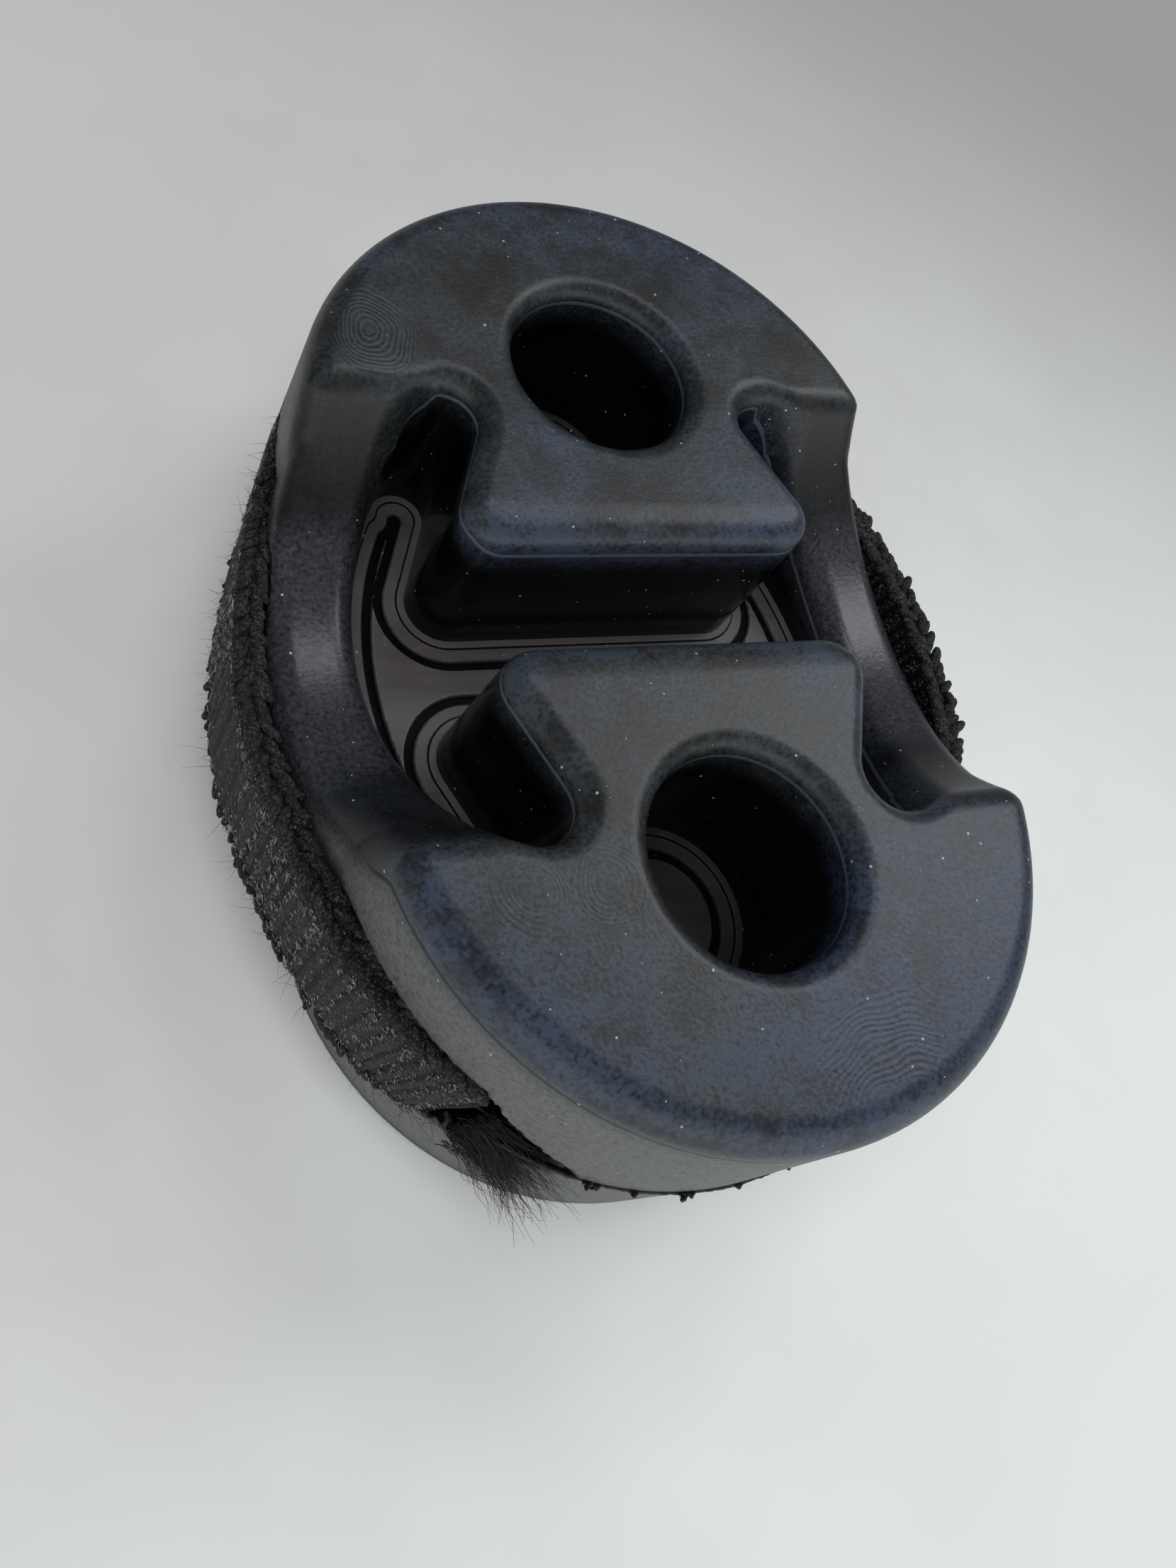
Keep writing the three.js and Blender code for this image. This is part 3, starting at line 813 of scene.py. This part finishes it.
band_points = []
band_faces = []
band_uv = []
band_paths = []
first = 0
for stops, lean in ((cut_side_stops, cut_lean), (far_side_stops, 0.0)):
    path, length = smooth_path(stops, path_step)
    points, uv = band_surface(path, length, lean)
    stations, around = points.shape[:2]
    band_faces += loop_faces(stations, around, first)
    band_points.append(points.reshape(-1, 3))
    band_uv.append(uv.reshape(-1, 2))
    band_paths.append((path, length))
    first += stations * around
band_points = np.concatenate(band_points)
band_uv = np.concatenate(band_uv)
band = new_piece("webbing_band_woven", band_points, band_faces)
note(band, "along_band", band_uv[:, 0])
note(band, "across_band", band_points[:, 2])
note(band, "rib", band_uv[:, 1])
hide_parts("webbing_band")


def woven_yarn():
    """Finish of the band: slanting strands read from the places along and across it, the rib crowns
    painted paler as a painted highlight and the gaps between the ribs left near-black as painted
    shade.
    """
    material, w, shader, place = new_material("woven yarn")
    link = material.node_tree.links.new
    along = w.read("along_band")
    across = w.read("across_band")
    in_rib = w.math("ABSOLUTE", w.math("SUBTRACT", w.math("FRACT", w.read("rib")), 0.5))
    wander = w.math("MULTIPLY", w.math("SUBTRACT", w.noise(place, 1300.0, 1.0, 0.6), 0.5), 3.0)
    slant = w.math("ADD", w.math("MULTIPLY", across, 1.75), w.math("MULTIPLY", along, 1.1))
    strand = w.math("SINE", w.math("MULTIPLY", w.math("ADD", slant, wander), 2 * np.pi * 0.75))
    # Rib crowns painted paler and the gaps between the ribs dark: painted highlight and painted
    # shade.
    crown = w.math("MULTIPLY", w.ramp(in_rib, 0.46, 0.16), w.math("MULTIPLY_ADD", strand, 0.45, 0.55))
    fibre = w.noise(place, 3000.0, 2.0, 0.7)
    shade = w.math("MULTIPLY", crown, w.ramp(fibre, 0.45, 0.72))
    colour = w.mix(shade, yarn_black, yarn_crown)
    link(colour, shader["Base Color"])
    shader["Roughness"].default_value = 0.75
    height = w.math("MULTIPLY_ADD", fibre, 0.5, crown)
    bump = w.node("ShaderNodeBump", {"Height": height, "Strength": 1.0, "Distance": 0.00022})
    link(bump.outputs[0], shader["Normal"])
    return material


band.data.materials.append(woven_yarn())


def strands(centres, ways, outs, length, radius):
    """Short fat strands, like grains: each an ellipsoid of 8 by 6 faces, longest along its way."""
    theta = np.linspace(0, np.pi, 7)
    phi = np.linspace(0, 2 * np.pi, 9)[:-1]
    ball = np.stack([np.outer(np.cos(theta), np.ones(8)), np.outer(np.sin(theta), np.cos(phi)),
                     np.outer(np.sin(theta), np.sin(phi))], axis=-1).reshape(-1, 3)
    thirds = np.cross(ways, outs)
    scale = np.stack([length / 2, radius, radius], axis=1)
    basis = np.stack([ways, outs, thirds], axis=1)
    local = ball[None] * scale[:, None, :]
    points = centres[:, None, :] + np.einsum("nki,nij->nkj", local, basis)
    i = np.arange(6)[:, None] * 8 + np.arange(8)
    j = np.arange(6)[:, None] * 8 + (np.arange(8) + 1) % 8
    quads = np.stack([i, j, j + 8, i + 8], axis=-1).reshape(-1, 4)
    count = len(centres)
    faces = (quads[None] + (np.arange(count) * 56)[:, None, None]).reshape(-1, 4)
    return points.reshape(-1, 3), faces


def braid(path, length, top, spare):
    """Chain of leaning strands along one edge of the band, up to a spare length before its end:
    two rows, leaning opposite ways."""
    along, out = left_and_right(path)
    parts = []
    for row, lean in braid_rows:
        spots = np.arange(0.8, length[-1] - spare, strand_pitch / 2) + rng.normal(0, 0.1)
        spots = spots + rng.normal(0, 0.14, spots.size)
        spots = spots[rng.random(spots.size) > 0.03]
        x, y, ax, ay, ox, oy = [np.interp(spots, length, column) for column in
                                (*path.T, *along.T, *out.T)]
        across = row + rng.normal(0, 0.15, spots.size)
        height = top * (band_half_width + 0.1 + rng.normal(0, 0.13, spots.size))
        centres = np.stack([x + ox * across, y + oy * across, height], axis=1)
        turn = lean + rng.normal(0, 0.2, spots.size)
        rise = rng.normal(0, 0.18, spots.size)
        ways = np.stack([ax * np.cos(turn) + ox * np.sin(turn),
                         ay * np.cos(turn) + oy * np.sin(turn), rise], axis=1)
        ways = ways / np.linalg.norm(ways, axis=1)[:, None]
        outs = np.cross(ways, (0, 0, 1))
        outs = outs / np.linalg.norm(outs, axis=1)[:, None]
        size = rng.uniform(0.85, 1.12, spots.size)
        parts.append((centres, ways, outs, strand_length * size, strand_radius * size))
    return [np.concatenate(columns) for columns in zip(*parts)]


# Each edge: its side of the object, near or far edge, and the length left bare before its end.
edge_list = ((0, 1, 1.0), (0, -1, 4.8), (1, 1, 0.6), (1, -1, 0.6))
braid_parts = [braid(*band_paths[side], top, spare) for side, top, spare in edge_list]
points, faces = strands(*[np.concatenate(columns) for columns in zip(*braid_parts)])
braids = new_piece("webbing_band_edges", points, faces)


def braid_yarn():
    """Finish of the braided edges: the same yarn with fine fibres."""
    material, w, shader, place = new_material("braid yarn")
    link = material.node_tree.links.new
    fibre = w.noise(place, 3800.0, 3.0, 0.7)
    patch = w.noise(place, 500.0, 2.0, 0.5)
    shade = w.math("MULTIPLY", w.ramp(fibre, 0.45, 0.75), patch)
    link(w.mix(shade, yarn_black, yarn_crown), shader["Base Color"])
    shader["Roughness"].default_value = 0.7
    bump = w.node("ShaderNodeBump", {"Height": fibre, "Strength": 1.0, "Distance": 0.00015})
    link(bump.outputs[0], shader["Normal"])
    return material


braids.data.materials.append(braid_yarn())


# Loose fibres. The cut end of the band is a tuft of fine filaments that fans out from the dark
# pocket in the rubber. Worn yarn on the cut side stands off as fuzz, most of it at the edges, and
# as short lint on the crowns of the ribs.

tuft_count = 700
tuft_place = np.array([-22.4, -42.8, -2.5])
tuft_spread = (0.9, 0.4, 2.3)
tuft_heading = np.array([0.60, -0.54, -0.22])
tuft_scatter = (0.17, 0.15, 0.22)
tuft_sag = (0.05, -0.10, -0.18)
tuft_lengths = (3.0, 9.5)
fuzz_count = 900
fuzz_lengths = (0.5, 1.9)
fuzz_radius = 0.035
lint_count = 6500
lint_lengths = (0.4, 1.4)
fibre_radius = 0.055
fibre_brown = (0.030, 0.026, 0.024)
lint_grey = (0.30, 0.30, 0.29)


def filaments(starts, ways, bends, lengths, radius, stations=9, wave_size=0.03):
    """Thin three-sided tubes. Each runs from its start along its way and curls off by its bend
    times the square of the distance run, with a slight wave."""
    t = np.linspace(0, 1, stations)[None, :, None]
    run = lengths[:, None, None] * t
    wave = rng.normal(0, wave_size, (len(starts), 1, 3))
    wave = wave * np.sin(9 * t + rng.random((len(starts), 1, 1)) * 6)
    paths = starts[:, None] + ways[:, None] * run + bends[:, None] * run * t + wave * run
    along = np.gradient(paths, axis=1)
    along = along / np.linalg.norm(along, axis=2, keepdims=True)
    side = np.cross(along, (0.31, 0.52, 0.79))
    side = side / np.linalg.norm(side, axis=2, keepdims=True)
    third = np.cross(along, side)
    turn = np.array([0, 2 * np.pi / 3, 4 * np.pi / 3])
    thin = radius * (1 - 0.75 * t[..., None])
    turn = turn[None, None, :, None]
    ring = np.cos(turn) * side[:, :, None] + np.sin(turn) * third[:, :, None]
    points = paths[:, :, None] + ring * thin
    i = (np.arange(stations - 1)[:, None] * 3 + np.arange(3)).ravel()
    j = (np.arange(stations - 1)[:, None] * 3 + (np.arange(3) + 1) % 3).ravel()
    quads = np.stack([i, j, j + 3, i + 3], axis=1)
    last = stations * 3 - 3
    caps = np.array([[0, 2, 1], [last, last + 1, last + 2]])
    step = np.arange(len(starts))[:, None, None] * stations * 3
    quads = (quads[None] + step).reshape(-1, 4).tolist()
    caps = (caps[None] + step).reshape(-1, 3).tolist()
    return points.reshape(-1, 3), quads + caps


spread = rng.normal(0, 1, (tuft_count, 3))
starts = tuft_place + spread * tuft_spread
ways = tuft_heading + rng.normal(0, 1, (tuft_count, 3)) * tuft_scatter
ways = ways / np.linalg.norm(ways, axis=1)[:, None]
bends = rng.normal(0, 0.12, (tuft_count, 3)) + tuft_sag
lengths = rng.uniform(*tuft_lengths, tuft_count)
points, faces = filaments(starts, ways, bends, lengths, fibre_radius, wave_size=0.07)
tuft = new_piece("frayed_end", points, faces)

path, length = band_paths[0]
along, out = left_and_right(path)
spot = rng.integers(4, len(path) - 4, fuzz_count)
edge = rng.choice([-1, 1, 0], fuzz_count, p=[0.3, 0.4, 0.3])
level = np.where(edge == 0, rng.uniform(-7, 7, fuzz_count), edge * (band_half_width + 0.2))
inward = np.where(edge == 0, 0.1, -rng.uniform(0, 2.4, fuzz_count))
starts = np.column_stack([path[spot] + out[spot] * inward[:, None], level])
ways = np.column_stack([out[spot] * rng.uniform(0.1, 0.9, (fuzz_count, 1)), edge * 0.6])
level_along = np.column_stack([along[spot], np.zeros(fuzz_count)])
ways = ways + level_along * rng.normal(0, 0.8, (fuzz_count, 1))
ways = ways + rng.normal(0, 0.25, (fuzz_count, 3))
ways = ways / np.linalg.norm(ways, axis=1)[:, None]
bends = rng.normal(0, 0.5, (fuzz_count, 3))
lengths = rng.uniform(*fuzz_lengths, fuzz_count)
points, faces = filaments(starts, ways, bends, lengths, fuzz_radius, stations=6)
fuzz = new_piece("band_fuzz", points, faces)

level = rng.uniform(-band_half_width, band_half_width, lint_count)
crown = np.sin(np.pi * rib_number(length)) ** 2
crown[:4] = 0
crown[-8:] = 0
spot = rng.choice(len(path), lint_count, p=crown / crown.sum())
spot = np.minimum(spot, len(path) - 17 + (9 * level / band_half_width).astype(int))
starts = np.column_stack([path[spot] + out[spot] * 0.22, level])
ways = np.column_stack([along[spot] * 0.45 + out[spot] * 0.16, np.full(lint_count, -0.85)])
ways = ways + rng.normal(0, 0.24, (lint_count, 3))
ways = ways / np.linalg.norm(ways, axis=1)[:, None]
bends = np.column_stack([-out[spot] * 0.5, rng.normal(0, 0.3, lint_count)])
lengths = rng.uniform(*lint_lengths, lint_count)
points, faces = filaments(starts, ways, bends, lengths, fibre_radius, stations=4)
lint = new_piece("band_lint", points, faces)


def loose_fibre():
    """Finish of the fine filaments: dull brown-black, a little different along each."""
    material, w, shader, place = new_material("loose fibre")
    shade = w.noise(place, 700.0, 2.0, 0.5)
    material.node_tree.links.new(w.mix(shade, yarn_black, fibre_brown), shader["Base Color"])
    shader["Roughness"].default_value = 0.6
    return material


def lint_fibre():
    """Finish of the short fibres on the ribs: paler than the yarn, from black to mid grey."""
    material, w, shader, place = new_material("lint fibre")
    shade = w.ramp(w.noise(place, 1500.0, 1.0, 0.5), 0.38, 0.66)
    material.node_tree.links.new(w.mix(shade, yarn_black, lint_grey), shader["Base Color"])
    shader["Roughness"].default_value = 0.5
    return material


loose = loose_fibre()
tuft.data.materials.append(loose)
fuzz.data.materials.append(loose)
lint.data.materials.append(lint_fibre())


# Flash. Where the two mould halves met, a thin torn fin of rubber stands out of the lower end
# block at mid-depth, with a few crumbs still hanging on it.

flash_from = np.radians(231)
flash_to = np.radians(322)
flash_half_thickness = 0.09
fin_reach = 0.16
fin_teeth = 140
crumb_pieces = 5
crumb_angles = np.radians([246.8, 248.2, 254.4, 262.8, 264.0, 272.5, 282.2, 287.0, 291.0, 295.8])
crumb_sizes = [0.62, 0.4, 0.42, 0.6, 0.4, 0.3, 0.36, 0.3, 0.26, 0.34]

angle = np.linspace(flash_from, flash_to, 700)
fin = fin_reach + 0.1 * rng.random(fin_teeth)
fin = np.interp(angle, np.linspace(flash_from, flash_to, fin_teeth), fin)
tooth = np.exp(-((angle[:, None] - crumb_angles) / 0.008) ** 2) @ np.array(crumb_sizes)
fin = (fin + tooth) * np.clip((flash_to - angle) / 0.15, 0, 1) + 0.02
fin = fin + 0.05 * rng.random(angle.size) * (tooth > 0.05)
inner = land_radius - 0.4
outer_reach = land_radius + fin
ring = [(inner, -1), (outer_reach, -1), (outer_reach, 1), (inner, 1)]
points = np.stack([np.stack([reach * np.cos(angle), reach * np.sin(angle) - land_centre_y,
                             np.full(angle.size, level * flash_half_thickness)], axis=1)
                   for reach, level in ring], axis=1)
flash = new_piece("flash_fin", points.reshape(-1, 3), loop_faces(angle.size, 4))
flash.data.materials.append(skin_finish)

spots = np.repeat(crumb_angles, crumb_pieces)
spots = spots + rng.normal(0, 0.006, spots.size)
sizes = np.repeat(crumb_sizes, crumb_pieces) * rng.uniform(0.4, 0.9, spots.size)
reach = land_radius + 0.1 + sizes * rng.uniform(0.2, 1.3, spots.size)
centres = np.column_stack([reach * np.cos(spots), reach * np.sin(spots) - land_centre_y,
                           rng.normal(0, 0.18, spots.size)])
ways = rng.normal(0, 1, (spots.size, 3))
ways = ways / np.linalg.norm(ways, axis=1)[:, None]
outs = np.cross(ways, (0.3, 0.5, 0.8))
outs = outs / np.linalg.norm(outs, axis=1)[:, None]
points, faces = strands(centres, ways, outs, sizes * 1.3, sizes * 0.45)
crumbs = new_piece("flash_crumbs", points, faces)
crumbs.data.materials.append(skin_finish)


# Table and light. A pale matte sheet lies under the object, painted darker away from the front
# right as painted shade. The room is pale low down at the front and dim elsewhere, with a window and
# a skylight that show in the gloss, and a large lamp overhead that doesn't.

sheet_near = (0.76, 0.80, 0.775)
# Darker sheet colours away from the front right: painted shade.
sheet_away_painted_shade = (0.54, 0.53, 0.52)
sheet_far_painted_shade = (0.33, 0.325, 0.33)
sheet_half = 1.5

corners = [(-sheet_half, -sheet_half, 0), (sheet_half, -sheet_half, 0),
           (sheet_half, sheet_half, 0), (-sheet_half, sheet_half, 0)]
sheet_mesh = bpy.data.meshes.new("table_sheet")
sheet_mesh.from_pydata(corners, [], [(0, 1, 2, 3)])
sheet = bpy.data.objects.new("table_sheet", sheet_mesh)
scene.collection.objects.link(sheet)
sheet_finish, w, shader, place = new_material("matte sheet")
parts = w.node("ShaderNodeSeparateXYZ", {0: place}).outputs
forward = w.math("MULTIPLY_ADD", parts[0], 0.7, w.math("MULTIPLY", parts[1], -0.7))
beyond = w.math("MULTIPLY_ADD", parts[0], 0.7, w.math("MULTIPLY", parts[1], 0.7))
blotch = w.math("MULTIPLY", w.math("SUBTRACT", w.noise(place, 22.0, 3.0, 0.6), 0.5), 0.12)
# Paler towards the front right, darker away from it: painted shade.
shade = w.ramp(w.math("ADD", forward, blotch), -0.12, 0.12)
colour = w.mix(shade, sheet_away_painted_shade, sheet_near)
# Darkest towards the back right: painted shade.
colour = w.mix(w.ramp(beyond, 0.02, 0.24), colour, sheet_far_painted_shade)
sheet_finish.node_tree.links.new(colour, shader["Base Color"])
shader["Roughness"].default_value = 0.8
sheet_mesh.materials.append(sheet_finish)


def panel(name, azimuth, height, distance, watts, size, colour):
    """A square lamp that faces the object from a bearing and a height in degrees."""
    azimuth, height = np.radians(azimuth), np.radians(height)
    place = distance * np.array([np.cos(height) * np.cos(azimuth), np.cos(height) * np.sin(azimuth),
                                 np.sin(height)])
    lamp = bpy.data.lights.new(name, "AREA")
    lamp.size = size
    lamp.energy = watts
    lamp.color = colour
    holder = bpy.data.objects.new(name, lamp)
    turn = Vector(-place).to_track_quat("-Z", "Y").to_matrix().to_4x4()
    holder.matrix_world = Matrix.Translation(place) @ turn
    scene.collection.objects.link(holder)
    return holder


panel("window", azimuth=18, height=47, distance=1.2, watts=3.1, size=0.5,
      colour=(0.96, 0.98, 1.0))
panel("skylight", azimuth=60, height=63, distance=1.3, watts=1.5, size=0.32,
      colour=(0.95, 0.95, 1.0))
overhead = panel("overhead", azimuth=215, height=68, distance=1.6, watts=18.0, size=1.3,
                 colour=(0.99, 0.995, 1.0))
overhead.visible_glossy = False

world = bpy.data.worlds.new("room")
scene.world = world
world.use_nodes = True
w = Wiring(world.node_tree)
facing = w.node("ShaderNodeTexCoord").outputs["Generated"]
bearing = w.node("ShaderNodeSeparateXYZ", {0: facing}).outputs
toward = w.math("MULTIPLY_ADD", bearing[0], -0.1, w.math("MULTIPLY", bearing[1], -1.0))
pale = w.math("MULTIPLY", w.ramp(toward, 0.1, 0.8), w.ramp(bearing[2], 0.72, 0.35))
room = w.math("MULTIPLY_ADD", pale, 1.2, 0.13)
world.node_tree.links.new(room, world.node_tree.nodes["Background"].inputs["Strength"])
world.node_tree.nodes["Background"].inputs["Color"].default_value = (0.97, 0.985, 1.0, 1)
